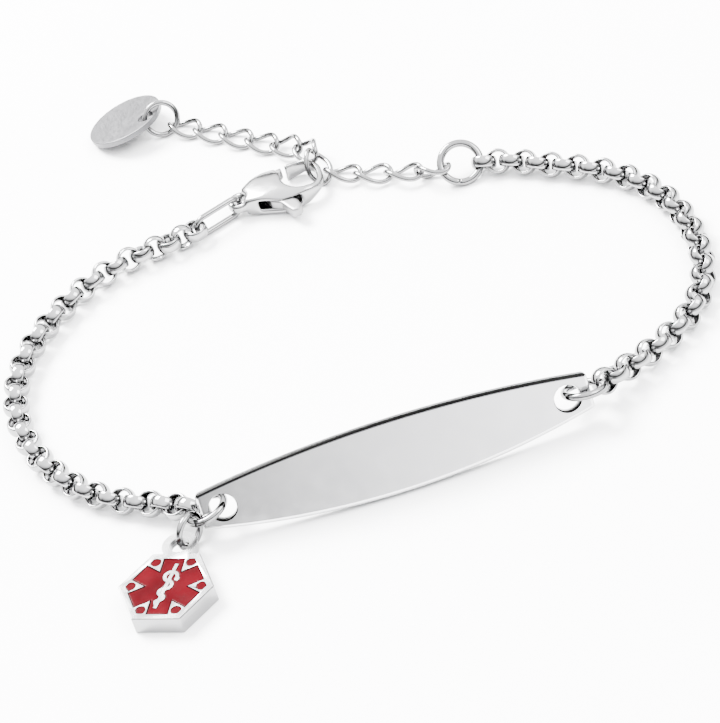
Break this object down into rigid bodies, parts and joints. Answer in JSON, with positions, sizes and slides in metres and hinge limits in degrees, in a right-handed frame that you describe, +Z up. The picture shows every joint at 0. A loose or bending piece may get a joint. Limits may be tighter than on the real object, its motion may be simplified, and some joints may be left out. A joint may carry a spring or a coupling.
{
  "type": "medical alert bracelet",
  "caption": "Steel chain bracelet with a curved identification plate, a hexagonal enamelled charm, a lobster clasp and an extender chain that ends in a round tag.",
  "frame": {"origin": "bottom centre of the box round the whole bracelet as it lies on a table", "axes": "+X along the identification plate towards its right end as read, +Y across the wrist opening from the plate to the clasp, +Z up from the table"},
  "size_m": [0.0674, 0.078, 0.0068],
  "materials": {
    "polished_steel": "mirror-polished stainless steel",
    "satin_steel": "satin stainless steel",
    "red_enamel": "glossy translucent enamel"
  },
  "bodies": {
    "bracelet": {"id_plate": "polished_steel", "plate_ring_left": "polished_steel", "plate_ring_right": "polished_steel", "chain_left": "polished_steel", "chain_right": "polished_steel", "clasp_ring": "polished_steel", "clasp_body": "polished_steel", "extender_ring": "polished_steel", "extender_chain": "polished_steel", "tag_ring": "polished_steel", "end_tag": "satin_steel", "charm_ring": "polished_steel", "charm_body": "polished_steel", "charm_enamel": "red_enamel"},
    "lever": {"clasp_lever": "polished_steel"}
  },
  "joints": [
    {"name": "clasp_lever_hinge", "type": "hinge", "parent": "bracelet", "child": "lever", "pos_m": [-0.00416, 0.0171, 0.0013], "axis": [0, 0, -1], "range_deg": [0, 18], "stiffness_Nm_per_rad": 0.0005, "springref_deg": -5.73}
  ]
}
